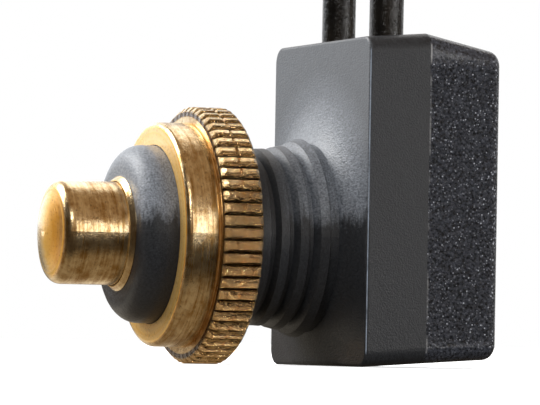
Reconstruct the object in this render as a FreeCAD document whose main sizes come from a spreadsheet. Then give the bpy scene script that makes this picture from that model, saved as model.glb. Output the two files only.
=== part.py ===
# Push on push off lamp switch: threaded moulded housing, brass button and ring nut, ratchet contact inside.
# Millimetres. Every piece is drawn in the nose's own frame: the nose axis is Y, the front face of the box
# lies at y = 0, the button points to -Y and Z is up. Its Placement then stands it on the ground plane.

import FreeCAD
import Part
import Sketcher
import math
import os

V = FreeCAD.Vector

doc = FreeCAD.newDocument("PushSwitch")


# Driving dimensions

sizes = {
    # Moulded box: front housing and rear cover
    "box_width": 18.1,
    "box_height": 21.9,
    "axis_height": 8.6,
    "housing_depth": 4.3,
    "cover_depth": 5.2,
    "top_rise": 0.35,
    "base_rise": 0.3,
    "cover_top_drop": 1.15,
    "cover_base_rise": 0.35,
    "corner_radius": 1.1,
    "front_edge_radius": 0.2,
    "rear_edge_radius": 0.8,
    "wall": 1.1,
    "front_wall": 1.2,
    "back_wall": 1.2,
    "lip_height": 0.8,
    "lip_thickness": 0.5,
    # Threaded nose
    "nose_length": 14.3,
    "nose_round": 1.5,
    "thread_diameter": 11.9,
    "thread_pitch": 1.27,
    "thread_depth": 0.5,
    "root_flat": 0.25,
    "flank_angle": 25.0,
    "first_groove": 1.4,
    "runout": 0.5,
    "flare_diameter": 15.8,
    "flare_length": 4.9,
    "mouth_diameter": 7.7,
    "web_setback": 1.8,
    "web_thickness": 1.2,
    # Ring nut
    "nut_setback": 7.0,
    "rim_diameter": 17.2,
    "rim_length": 2.7,
    "rim_bevel_share": 0.12,
    "collar_diameter": 15.0,
    "collar_length": 2.3,
    "collar_bevel_share": 0.27,
    "knurl_count": 62,
    "knurl_depth": 0.44,
    "knurl_gap": 0.72,
    # Push button
    "button_diameter": 6.9,
    "button_length": 4.9,
    "dome_height": 0.5,
    "dome_round": 0.75,
    "bush_lip": 0.35,
    "lip_bevel": 0.3,
    "bush_grip": 2.0,
    "flange_diameter": 7.5,
    "flange_length": 1.0,
    "stem_diameter": 3.0,
    "travel": 2.6,
    # Ratchet
    "driver_diameter": 6.8,
    "driver_length": 1.45,
    "lug_reach": 4.1,
    "lug_width": 1.2,
    "tooth_height": 0.9,
    "tooth_foot": 1.35,
    "tooth_crest": 0.5,
    "tooth_inner": 2.0,
    "tooth_length": 1.25,
    "clip_diameter": 3.8,
    "clip_thickness": 0.3,
    "rotor_thickness": 1.2,
    "hub_square": 2.7,
    "hub_length": 1.8,
    "pin_diameter": 1.6,
    "boss_diameter": 3.6,
    "boss_height": 0.9,
    # Contacts
    "bridge_end": 0.8,
    "bridge_width": 3.2,
    "bridge_thickness": 0.35,
    "contact_inset": 2.35,
    "contact_diameter": 1.5,
    "bridge_contact_height": 0.3,
    "washer_diameter": 6.4,
    "washer_thickness": 0.3,
    "terminal_rise": 2.1,
    "terminal_thickness": 0.5,
    "terminal_width": 2.3,
    "terminal_drop": 3.6,
    "arm_height": 2.8,
    "crimp_diameter": 2.0,
    "crimp_length": 2.6,
    "conductor_diameter": 1.1,
    # Springs
    "button_spring_diameter": 5.6,
    "button_spring_wire": 0.5,
    "button_spring_turns": 5.0,
    "rotor_spring_diameter": 4.9,
    "rotor_spring_wire": 0.35,
    "rotor_spring_turns": 3.0,
    # Leads
    "lead_diameter": 2.3,
    "lead_inset": 1.15,
    "lead_setback": 2.85,
    "coil_radius": 11.5,
    "coil_setback": 44.7,
    "tie_thickness": 0.3,
    "tie_width": 3.0,
    "tip_length": 8.0,
    # Clearances
    "running_fit": 0.05,
    "seat_gap": 0.05,
    "loose_fit": 0.1,
    "mesh_gap": 0.12,
}

# Places worked out from the driving dimensions; a "y" place is measured from the front face of the box
places = {
    "seam": "size.housing_depth",
    "rear": "size.housing_depth + size.cover_depth",
    "base": "-size.axis_height",
    "top": "size.box_height - size.axis_height",
    "seam_base": "base + size.base_rise",
    "seam_top": "top + size.top_rise",
    "rear_base": "seam_base + size.cover_base_rise",
    "rear_top": "seam_top - size.cover_top_drop",
    "half_width": "size.box_width / 2",
    "inner_half": "half_width - size.wall",
    "room_base": "seam_base + size.wall",
    "room_top": "top - size.wall",
    "cover_room_top": "rear_top - size.wall",
    "room_rear": "rear - size.back_wall",
    "thread_radius": "size.thread_diameter / 2",
    "root_radius": "thread_radius - size.thread_depth",
    "flare_radius": "size.flare_diameter / 2",
    "flare_rise": "flare_radius - thread_radius",
    "flare_arc": "(size.flare_length ^ 2 + flare_rise ^ 2) / (2 * flare_rise)",
    "groove_mouth": "2 * size.thread_depth",
    "groove_half": "size.root_flat / 2",
    "groove_slope": "tan(size.flank_angle * 1 deg)",
    "nose_tip": "-size.nose_length",
    "nose_bore": "size.mouth_diameter / 2",
    "web_rear": "-size.web_setback",
    "web_front": "web_rear - size.web_thickness",
    "lip_front": "nose_tip - size.bush_lip",
    "button_tip": "lip_front - size.button_length",
    "bush_rear": "nose_tip + size.bush_grip",
    "flange_front": "bush_rear + size.seat_gap",
    "flange_rear": "flange_front + size.flange_length",
    "driver_front": "web_rear + size.seat_gap",
    "driver_rear": "driver_front + size.driver_length",
    "stem_end": "driver_rear + size.clip_thickness + 0.15",
    "rotor_face": "driver_rear + size.tooth_height + size.travel + size.mesh_gap",
    "rotor_rear": "rotor_face + size.rotor_thickness",
    "bridge_rear": "rotor_rear + size.bridge_thickness",
    "washer_rear": "bridge_rear + size.washer_thickness",
    "hub_end": "rotor_rear + size.hub_length",
    "boss_front": "room_rear - size.boss_height",
    "pin_front": "rotor_face + size.loose_fit",
    "pin_rear": "rear - size.back_wall / 2",
    "contact_radius": "inner_half - size.contact_inset",
    "tongue_reach": "contact_radius - size.contact_diameter / 2 - 0.25",
    "rotor_radius": "tongue_reach - 0.2",
    "lead_spread": "contact_radius - size.lead_inset",
    "terminal_top": "room_top - size.terminal_drop",
    "driver_radius": "size.driver_diameter / 2",
    "recess_radius": "driver_radius + size.loose_fit",
    "rim_radius": "size.rim_diameter / 2",
    "nut_rear": "-size.nut_setback",
    "rim_front": "nut_rear - size.rim_length",
    "nut_front": "rim_front - size.collar_length",
    "nut_bore": "thread_radius + size.running_fit",
    "nut_crest": "root_radius + size.loose_fit",
    "nut_first": "ceil((size.nut_setback + 0.45 - size.first_groove) / size.thread_pitch)",
    "nut_last": "floor((-nut_front - 0.45 - size.first_groove) / size.thread_pitch)",
    "nut_thread": "-size.first_groove - nut_first * size.thread_pitch",
    "nut_ridges": "nut_last - nut_first + 1",
    "plain_grooves": "nut_last - 3",
    "rim_bevel": "(rim_radius - nut_bore) * size.rim_bevel_share",
    "collar_radius": "size.collar_diameter / 2",
    "collar_bevel": "(collar_radius - nut_bore) * size.collar_bevel_share",
    "terminal_front": "size.front_wall + size.terminal_rise",
    "terminal_rear": "terminal_front + size.terminal_thickness",
    "bridge_contact_tip": "rotor_rear - size.bridge_contact_height",
    "fixed_contact_tip": "bridge_contact_tip - size.loose_fit",
    "lead_radius": "size.lead_diameter / 2",
    "lead_start": "terminal_top + 0.15",
    "ground": "-max(size.axis_height; rim_radius)",
    "rise": "-ground",
    "shift": "(-button_tip - rear) / 2",
}

size = doc.addObject("Spreadsheet::Sheet", "size")
for row, (name, number) in enumerate(sizes.items(), start=1):
    size.set(f"A{row}", name)
    size.set(f"B{row}", str(number))
    size.setAlias(f"B{row}", name)
place = doc.addObject("Spreadsheet::Sheet", "place")
for row, (name, formula) in enumerate(places.items(), start=1):
    place.set(f"A{row}", name)
    place.set(f"B{row}", "=" + formula)
    place.setAlias(f"B{row}", name)
doc.recompute()


def value(expression):
    """An expression of the two sheets as a plain number."""
    result = size.evalExpression(expression)
    return float(getattr(result, "Value", result))


# Helpers for sketches, features and placements

pieces = []


def stand(piece, label):
    """Names a finished piece and stands it in the part's frame."""
    piece.Label = label
    piece.setExpression("Placement.Base.y", "place.shift")
    piece.setExpression("Placement.Base.z", "place.rise")
    pieces.append(piece)


def new_body(label):
    body = doc.addObject("PartDesign::Body", label)
    stand(body, label)
    return body


def origin_plane(body, role):
    return next(item for item in body.Origin.OriginFeatures if item.Role == role)


def new_sketch(body, name, role, offset=None):
    """A sketch on an origin plane of its body, moved along the plane's normal by an expression."""
    sketch = body.newObject("Sketcher::SketchObject", name)
    sketch.AttachmentSupport = (origin_plane(body, role), [""])
    sketch.MapMode = "FlatFace"
    if offset:
        sketch.setExpression("AttachmentOffset.Base.z", offset)
    return sketch


def hold(sketch, kind, *ids, to):
    """A dimension of a sketch, bound to an expression."""
    index = sketch.addConstraint(Sketcher.Constraint(kind, *ids, value(to)))
    sketch.setExpression(f"Constraints[{index}]", to)


def outline(sketch, points, arcs=None):
    """A closed outline through points given as pairs of expressions.

    arcs maps the number of a side to the way it bulges, seen along the outline, and its radius."""
    arcs = arcs or {}
    spots = [V(value(x), value(y), 0) for x, y in points]
    count = len(spots)
    base = sketch.GeometryCount
    for number, start in enumerate(spots):
        end = spots[(number + 1) % count]
        if number in arcs:
            side, radius_text = arcs[number]
            radius = value(radius_text)
            chord = end - start
            normal = V(chord.y, -chord.x, 0).normalize() * (1 if side == "right" else -1)
            sag = radius - math.sqrt(max(radius ** 2 - (chord.Length / 2) ** 2, 0))
            middle = (start + end) * 0.5 + normal * sag
            sketch.addGeometry(Part.Arc(start, middle, end), False)
        else:
            sketch.addGeometry(Part.LineSegment(start, end), False)
    # A sketch counts every arc anticlockwise, so one that bulges to the left is held by its far end
    begins = {number: 2 if arcs.get(number, ("right",))[0] == "left" else 1 for number in range(count)}
    for number in range(count):
        following = (number + 1) % count
        sketch.addConstraint(Sketcher.Constraint(
            "Coincident", base + number, 3 - begins[number], base + following, begins[following]))
    for number, (x, y) in enumerate(points):
        hold(sketch, "DistanceX", -1, 1, base + number, begins[number], to=x)
        hold(sketch, "DistanceY", -1, 1, base + number, begins[number], to=y)
    for number, (side, radius_text) in arcs.items():
        hold(sketch, "Radius", base + number, to=radius_text)


def circle(sketch, x, y, radius):
    number = sketch.addGeometry(Part.Circle(V(value(x), value(y), 0), V(0, 0, 1), value(radius)), False)
    hold(sketch, "DistanceX", -1, 1, number, 3, to=x)
    hold(sketch, "DistanceY", -1, 1, number, 3, to=y)
    hold(sketch, "Radius", number, to=radius)


def rectangle(sketch, x_low, x_high, y_low, y_high):
    outline(sketch, [(x_low, y_low), (x_high, y_low), (x_high, y_high), (x_low, y_high)])


def revolve(body, sketch, name, kind="Revolution"):
    feature = body.newObject("PartDesign::" + kind, name)
    feature.Profile = sketch
    feature.ReferenceAxis = (sketch, ["V_Axis"])
    feature.Angle = 360
    doc.recompute()
    return feature


def extrude(body, sketch, name, length, kind="Pad", backwards=False):
    feature = body.newObject("PartDesign::" + kind, name)
    feature.Profile = sketch
    feature.Reversed = backwards
    feature.setExpression("Length", length)
    doc.recompute()
    return feature


def long_edge(edge):
    """An edge of the box that runs from front to back along a side wall."""
    first, last = edge.Vertexes[0].Point, edge.Vertexes[-1].Point
    return abs(first.y - last.y) > 0.5 and abs(abs(first.x) - value("place.half_width")) < 1e-6


def at_depth(edge, depth):
    return all(abs(vertex.Point.y - value(depth)) < 1e-6 for vertex in edge.Vertexes)


def round_off(body, base, name, radius, wanted):
    """A fillet on the edges of a feature that a test picks out."""
    feature = body.newObject("PartDesign::Fillet", name)
    feature.Base = (base, [f"Edge{number}" for number, edge in enumerate(base.Shape.Edges, start=1) if wanted(edge)])
    feature.setExpression("Radius", radius)
    doc.recompute()
    return feature


def around(body, feature, name, count):
    pattern = body.newObject("PartDesign::PolarPattern", name)
    pattern.Originals = [feature]
    pattern.Axis = (origin_plane(body, "Y_Axis"), [""])
    pattern.Angle = 360
    pattern.setExpression("Occurrences", count)
    body.Tip = pattern
    doc.recompute()
    return pattern


def along(body, feature, name, count, step, backwards):
    pattern = body.newObject("PartDesign::LinearPattern", name)
    pattern.Originals = [feature]
    pattern.Direction = (origin_plane(body, "Y_Axis"), [""])
    pattern.Reversed = backwards
    pattern.setExpression("Length", f"max(({count} - 1) * {step}; 0.01)")
    pattern.setExpression("Occurrences", count)
    body.Tip = pattern
    doc.recompute()
    return pattern


# Housing: box front with slanting top and base, threaded nose on a flared root, recess for the driver

housing = new_body("housing")
housing_side = new_sketch(housing, "housing_side", "YZ_Plane", "-place.half_width")
outline(housing_side, [
    ("0", "place.base"), ("place.seam", "place.seam_base"), ("place.seam", "place.seam_top"), ("0", "place.top"),
])
housing_block = extrude(housing, housing_side, "housing_block", "size.box_width")
housing_corners = round_off(housing, housing_block, "housing_corners", "size.corner_radius", long_edge)
round_off(housing, housing_corners, "front_rounding", "size.front_edge_radius", lambda edge: at_depth(edge, "0"))

nose_profile = new_sketch(housing, "nose_profile", "XY_Plane")
outline(nose_profile, [
    ("0", "size.front_wall / 2"),
    ("0", "place.nose_tip"),
    ("place.thread_radius - size.nose_round", "place.nose_tip"),
    ("place.thread_radius", "place.nose_tip + size.nose_round"),
    ("place.thread_radius", "-size.flare_length"),
    ("place.flare_radius", "0"),
    ("place.flare_radius", "size.front_wall / 2"),
], {2: ("right", "size.nose_round"), 4: ("left", "place.flare_arc")})
revolve(housing, nose_profile, "nose")

# The first four grooves follow the flare's surface, and the one next to the box is widened into a run-out
flare_grooves = new_sketch(housing, "flare_grooves_profile", "XY_Plane")
mouth_half = "place.groove_half + place.groove_mouth * place.groove_slope"
for number in range(4):
    middle = f"-size.first_groove - {number} * size.thread_pitch"
    climb = f"max(size.flare_length - size.first_groove - {number} * size.thread_pitch; 0)"
    root = (f"(place.thread_radius - size.thread_depth + place.flare_arc"
            f" - sqrt(place.flare_arc ^ 2 - ({climb}) ^ 2))")
    widening = "size.runout" if number == 0 else "0"
    outline(flare_grooves, [
        (root, f"{middle} - place.groove_half"),
        (f"{root} + place.groove_mouth", f"{middle} - ({mouth_half})"),
        ("place.flare_radius + 0.3", f"{middle} - ({mouth_half})"),
        ("place.flare_radius + 0.3", f"{middle} + {mouth_half} + {widening}"),
        (f"{root} + place.groove_mouth", f"{middle} + {mouth_half} + {widening}"),
        (root, f"{middle} + place.groove_half + {widening}"),
    ])
revolve(housing, flare_grooves, "flare_grooves", "Groove")

groove_profile = new_sketch(housing, "groove_profile", "XY_Plane")
groove_middle = "-size.first_groove - 4 * size.thread_pitch"
outline(groove_profile, [
    ("place.root_radius", f"{groove_middle} - place.groove_half"),
    ("place.root_radius + place.groove_mouth", f"{groove_middle} - ({mouth_half})"),
    ("place.root_radius + place.groove_mouth", f"{groove_middle} + {mouth_half}"),
    ("place.root_radius", f"{groove_middle} + place.groove_half"),
])
groove = revolve(housing, groove_profile, "thread_groove", "Groove")
along(housing, groove, "thread", "place.plain_grooves", "size.thread_pitch", True)

bore_profile = new_sketch(housing, "bore_profile", "XY_Plane")
outline(bore_profile, [
    ("0", "place.nose_tip - 1"),
    ("place.nose_bore", "place.nose_tip - 1"),
    ("place.nose_bore", "place.web_front"),
    ("size.stem_diameter / 2 + size.loose_fit", "place.web_front"),
    ("size.stem_diameter / 2 + size.loose_fit", "place.web_rear"),
    ("place.recess_radius", "place.web_rear"),
    ("place.recess_radius", "size.front_wall + 0.5"),
    ("0", "size.front_wall + 0.5"),
])
revolve(housing, bore_profile, "nose_bore", "Groove")

keyway_profile = new_sketch(housing, "keyway_profile", "XZ_Plane", "-place.web_rear")
rectangle(keyway_profile, "-size.lug_reach - size.loose_fit", "size.lug_reach + size.loose_fit",
          "-size.lug_width / 2 - size.loose_fit", "size.lug_width / 2 + size.loose_fit")
extrude(housing, keyway_profile, "keyways", "size.front_wall - place.web_rear + 0.1", "Pocket")

room_profile = new_sketch(housing, "room_profile", "XZ_Plane", "-size.front_wall")
rectangle(room_profile, "-place.inner_half", "place.inner_half", "place.room_base", "place.room_top")
extrude(housing, room_profile, "room", "size.housing_depth", "Pocket")

for side, sign in (("left", "-1"), ("right", "1")):
    shelf_profile = new_sketch(housing, f"{side}_shelf_profile", "XZ_Plane", "-size.front_wall + 0.2")
    low_x = f"{sign} * (place.contact_radius + size.loose_fit)"
    high_x = f"{sign} * (place.inner_half + 0.2)"
    rectangle(shelf_profile, low_x, high_x, "-size.arm_height / 2", "place.terminal_top")
    extrude(housing, shelf_profile, f"{side}_shelf", "size.terminal_rise + 0.2", "Pad", backwards=True)
    exit_profile = new_sketch(housing, f"{side}_exit_profile", "XY_Plane", "place.room_top - 0.5")
    circle(exit_profile, f"{sign} * place.lead_spread", "size.lead_setback", "place.lead_radius + size.loose_fit")
    extrude(housing, exit_profile, f"{side}_exit", "size.wall + size.top_rise + 1.5", "Pocket", backwards=True)


# Rear cover: tapers to the back, locating lip inside the housing, boss for the rotor's pin

cover = new_body("rear_cover")
cover_side = new_sketch(cover, "cover_side", "YZ_Plane", "-place.half_width")
outline(cover_side, [
    ("place.seam", "place.seam_base"), ("place.rear", "place.rear_base"),
    ("place.rear", "place.rear_top"), ("place.seam", "place.seam_top"),
])
cover_block = extrude(cover, cover_side, "cover_block", "size.box_width")
cover_corners = round_off(cover, cover_block, "cover_corners", "size.corner_radius", long_edge)
round_off(cover, cover_corners, "rear_rounding", "size.rear_edge_radius",
          lambda edge: at_depth(edge, "place.rear"))

lip_profile = new_sketch(cover, "lip_profile", "XZ_Plane", "-place.seam - 0.2")
rectangle(lip_profile, "-place.inner_half + size.loose_fit", "place.inner_half - size.loose_fit",
          "place.room_base + size.loose_fit", "place.cover_room_top - size.loose_fit")
extrude(cover, lip_profile, "lip", "size.lip_height + 0.2", "Pad")
cover_room_profile = new_sketch(cover, "cover_room_profile", "XZ_Plane", "-place.seam + size.lip_height + 0.5")
inset = "(size.loose_fit + size.lip_thickness)"
rectangle(cover_room_profile, f"-place.inner_half + {inset}", f"place.inner_half - {inset}",
          f"place.room_base + {inset}", f"place.cover_room_top - {inset}")
extrude(cover, cover_room_profile, "cover_room",
        "place.room_rear - place.seam + size.lip_height + 0.5", "Pocket")
notch_profile = new_sketch(cover, "notch_profile", "XZ_Plane", "-place.seam + size.lip_height + 0.5")
rectangle(notch_profile, "-place.lead_spread - place.lead_radius - 0.3", "place.lead_spread + place.lead_radius + 0.3",
          "place.terminal_top - 0.5", "place.cover_room_top + 1")
extrude(cover, notch_profile, "lead_notch", "size.lip_height + 0.5", "Pocket")

boss_profile = new_sketch(cover, "boss_profile", "XY_Plane")
outline(boss_profile, [
    ("size.pin_diameter / 2", "place.boss_front"),
    ("size.boss_diameter / 2", "place.boss_front"),
    ("size.boss_diameter / 2", "place.room_rear + 0.3"),
    ("size.pin_diameter / 2", "place.room_rear + 0.3"),
])
revolve(cover, boss_profile, "boss")
pin_seat_profile = new_sketch(cover, "pin_seat_profile", "XY_Plane")
rectangle(pin_seat_profile, "0", "size.pin_diameter / 2", "place.boss_front - 0.5", "place.pin_rear")
revolve(cover, pin_seat_profile, "pin_seat", "Groove")


# Plunger: domed button, retaining flange behind the bush, stem through the web

plunger = new_body("plunger")
plunger_profile = new_sketch(plunger, "plunger_profile", "XY_Plane")
dome_chord = "(size.button_diameter / 2 - size.dome_round)"
outline(plunger_profile, [
    ("0", "place.button_tip"),
    (dome_chord, "place.button_tip + size.dome_height"),
    ("size.button_diameter / 2", "place.button_tip + size.dome_height + size.dome_round"),
    ("size.button_diameter / 2", "place.flange_front"),
    ("size.flange_diameter / 2", "place.flange_front"),
    ("size.flange_diameter / 2", "place.flange_rear"),
    ("size.stem_diameter / 2", "place.flange_rear"),
    ("size.stem_diameter / 2", "place.stem_end - 0.2"),
    ("size.stem_diameter / 2 - 0.2", "place.stem_end"),
    ("0", "place.stem_end"),
], {
    0: ("right", f"({dome_chord} ^ 2 + size.dome_height ^ 2) / (2 * size.dome_height)"),
    1: ("right", "size.dome_round * 1.02"),
})
revolve(plunger, plunger_profile, "turned_plunger")


# Plunger bush: thin brass bush pressed in the nose mouth, its bevelled lip stands proud

bush = new_body("plunger_bush")
bush_profile = new_sketch(bush, "bush_profile", "XY_Plane")
outline(bush_profile, [
    ("size.button_diameter / 2 + size.running_fit", "place.lip_front"),
    ("size.button_diameter / 2 + size.running_fit + 0.08", "place.lip_front"),
    ("place.nose_bore", "place.lip_front + size.lip_bevel"),
    ("place.nose_bore", "place.bush_rear"),
    ("size.button_diameter / 2 + size.running_fit", "place.bush_rear"),
])
revolve(bush, bush_profile, "turned_bush")


# Ring nut: smooth bevelled collar, knurled rim with a shallow groove round its middle, inner thread ridges

nut = new_body("ring_nut")
nut_profile = new_sketch(nut, "nut_profile", "XY_Plane")
rim_middle = "(place.rim_front + place.nut_rear) / 2"
outline(nut_profile, [
    ("place.nut_bore", "place.nut_front"),
    ("place.collar_radius - place.collar_bevel", "place.nut_front"),
    ("place.collar_radius", "place.nut_front + place.collar_bevel"),
    ("place.collar_radius", "place.rim_front - 0.12"),
    ("place.collar_radius - place.collar_bevel * 0.3", "place.rim_front"),
    ("place.rim_radius - place.rim_bevel", "place.rim_front"),
    ("place.rim_radius", "place.rim_front + place.rim_bevel"),
    ("place.rim_radius", f"{rim_middle} - 0.12"),
    ("place.rim_radius - 0.12", rim_middle),
    ("place.rim_radius", f"{rim_middle} + 0.12"),
    ("place.rim_radius", "place.nut_rear - place.rim_bevel"),
    ("place.rim_radius - place.rim_bevel", "place.nut_rear"),
    ("place.nut_bore", "place.nut_rear"),
], {1: ("right", "place.collar_bevel * 1.02")})
revolve(nut, nut_profile, "turned_nut")
ridge_profile = new_sketch(nut, "ridge_profile", "XY_Plane")
ridge_foot = "place.groove_half + size.thread_depth * place.groove_slope - size.running_fit"
ridge_crest = "place.groove_half + size.loose_fit * place.groove_slope - size.running_fit"
outline(ridge_profile, [
    ("place.nut_crest", f"place.nut_thread - ({ridge_crest})"),
    ("place.nut_crest", f"place.nut_thread + {ridge_crest}"),
    ("place.nut_bore", f"place.nut_thread + {ridge_foot}"),
    ("place.nut_bore + 0.2", f"place.nut_thread + {ridge_foot}"),
    ("place.nut_bore + 0.2", f"place.nut_thread - ({ridge_foot})"),
    ("place.nut_bore", f"place.nut_thread - ({ridge_foot})"),
])
ridge = revolve(nut, ridge_profile, "thread_ridge")
along(nut, ridge, "nut_thread", "place.nut_ridges", "size.thread_pitch", True)
knurl_profile = new_sketch(nut, "knurl_profile", "XZ_Plane", "-place.nut_rear - 0.1")
outline(knurl_profile, [
    ("0", "place.rim_radius - size.knurl_depth"),
    ("size.knurl_gap / 2", "place.rim_radius + 0.1"),
    ("-size.knurl_gap / 2", "place.rim_radius + 0.1"),
])
knurl = extrude(nut, knurl_profile, "knurl_notch", "size.rim_length + 0.15", "Pocket", backwards=True)
around(nut, knurl, "knurl", "size.knurl_count")


# Driver: keyed to the housing by two lugs, four slanting face teeth towards the rotor


def face_teeth(body, name, foot, height, turn):
    """Four slanting teeth on a face across the nose axis, from y = foot by height (negative: forwards).

    The first one lies turned by so many degrees about the axis."""
    profile = new_sketch(body, f"{name}_profile", "YZ_Plane", f"size.tooth_inner * cos({turn} deg)")
    profile.setExpression("AttachmentOffset.Base.y", f"-size.tooth_inner * sin({turn} deg)")
    profile.AttachmentOffset.Rotation = FreeCAD.Rotation(V(1, 0, 0), turn)
    sink = "0.2" if not height.startswith("-") else "-0.2"
    outline(profile, [
        (f"{foot} - {sink}", "-size.tooth_foot / 2"),
        (f"{foot}", "-size.tooth_foot / 2"),
        (f"{foot} + ({height})", "size.tooth_foot / 2 - size.tooth_crest"),
        (f"{foot} + ({height})", "size.tooth_foot / 2"),
        (f"{foot} - {sink}", "size.tooth_foot / 2"),
    ])
    tooth = extrude(body, profile, name, "size.tooth_length")
    return around(body, tooth, f"{name}_ring", "4")


driver = new_body("push_driver")
driver_profile = new_sketch(driver, "driver_profile", "XY_Plane")
rectangle(driver_profile, "size.stem_diameter / 2", "place.driver_radius", "place.driver_front", "place.driver_rear")
revolve(driver, driver_profile, "driver_ring")
lug_profile = new_sketch(driver, "lug_profile", "XZ_Plane", "-place.driver_front")
rectangle(lug_profile, "place.driver_radius - 0.5", "size.lug_reach", "-size.lug_width / 2", "size.lug_width / 2")
lug = extrude(driver, lug_profile, "lug", "size.driver_length", "Pad", backwards=True)
around(driver, lug, "lugs", "2")
face_teeth(driver, "driver_tooth", "place.driver_rear", "size.tooth_height", 0)

clip = new_body("driver_clip")
clip_profile = new_sketch(clip, "clip_profile", "XY_Plane")
rectangle(clip_profile, "size.stem_diameter / 2", "size.clip_diameter / 2",
          "place.driver_rear", "place.driver_rear + size.clip_thickness")
revolve(clip, clip_profile, "clip_ring")


# Ratchet rotor: disc with four face teeth towards the driver and a square hub for the contact blade

rotor = new_body("ratchet_rotor")
rotor_profile = new_sketch(rotor, "rotor_profile", "XY_Plane")
rectangle(rotor_profile, "0", "place.rotor_radius", "place.rotor_face", "place.rotor_rear")
revolve(rotor, rotor_profile, "rotor_disc")
hub_profile = new_sketch(rotor, "hub_profile", "XZ_Plane", "-place.rotor_rear")
rectangle(hub_profile, "-size.hub_square / 2", "size.hub_square / 2", "-size.hub_square / 2", "size.hub_square / 2")
extrude(rotor, hub_profile, "hub", "size.hub_length", "Pad", backwards=True)
face_teeth(rotor, "rotor_tooth", "place.rotor_face", "-size.tooth_height", 45)
rotor_bore_profile = new_sketch(rotor, "rotor_bore_profile", "XY_Plane")
rectangle(rotor_bore_profile, "0", "size.pin_diameter / 2 + size.running_fit",
          "place.rotor_face - 1", "place.hub_end + 1")
revolve(rotor, rotor_bore_profile, "rotor_bore", "Groove")


# Rotor pin and insulating washer

pin = new_body("rotor_pin")
pin_profile = new_sketch(pin, "pin_profile", "XY_Plane")
outline(pin_profile, [
    ("0", "place.pin_front"),
    ("size.pin_diameter / 2 - 0.15", "place.pin_front"),
    ("size.pin_diameter / 2", "place.pin_front + 0.15"),
    ("size.pin_diameter / 2", "place.pin_rear"),
    ("0", "place.pin_rear"),
])
revolve(pin, pin_profile, "turned_pin")

washer = new_body("bridge_washer")
washer_profile = new_sketch(washer, "washer_profile", "XZ_Plane", "-place.bridge_rear")
circle(washer_profile, "0", "0", "size.washer_diameter / 2")
hub_clear = "(size.hub_square / 2 + size.running_fit)"
rectangle(washer_profile, f"-{hub_clear}", hub_clear, f"-{hub_clear}", hub_clear)
extrude(washer, washer_profile, "washer_disc", "size.washer_thickness", backwards=True)


# Contact blade with a square hole for the hub, and its two buttons

bridge = new_body("contact_bridge")
bridge_profile = new_sketch(bridge, "bridge_profile", "XZ_Plane", "-place.rotor_rear")
bridge_half = "(place.contact_radius + size.bridge_end)"
bridge_side = "size.bridge_width / 2"
bridge_end = "size.bridge_width * 0.53"
outline(bridge_profile, [
    (f"-{bridge_half} + {bridge_side} * 0.7", f"-{bridge_side}"),
    (f"{bridge_half} - {bridge_side} * 0.7", f"-{bridge_side}"),
    (f"{bridge_half} - {bridge_side} * 0.7", bridge_side),
    (f"-{bridge_half} + {bridge_side} * 0.7", bridge_side),
], {1: ("right", bridge_end), 3: ("right", bridge_end)})
rectangle(bridge_profile, f"-{hub_clear}", hub_clear, f"-{hub_clear}", hub_clear)
extrude(bridge, bridge_profile, "blade", "size.bridge_thickness", backwards=True)


def button(name, x, y, thickness):
    """A contact button on the nose axis's height, from depth y towards the back."""
    disc = doc.addObject("Part::Cylinder", name)
    disc.setExpression("Radius", "size.contact_diameter / 2")
    disc.setExpression("Height", thickness)
    disc.Placement = FreeCAD.Placement(V(0, 0, 0), FreeCAD.Rotation(V(1, 0, 0), -90))
    disc.setExpression("Placement.Base.x", x)
    disc.setExpression("Placement.Base.y", y)
    return disc


contact_pair = doc.addObject("Part::Compound", "bridge_contacts")
contact_pair.Links = [
    button(f"{side}_bridge_button", f"{sign} * place.contact_radius", "place.bridge_contact_tip",
           "size.bridge_contact_height")
    for side, sign in (("left", "-1"), ("right", "1"))
]
stand(contact_pair, "bridge_contacts")


# Terminals on the housing's shelves, each with a crimp barrel; fixed contact buttons and stripped conductors

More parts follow.
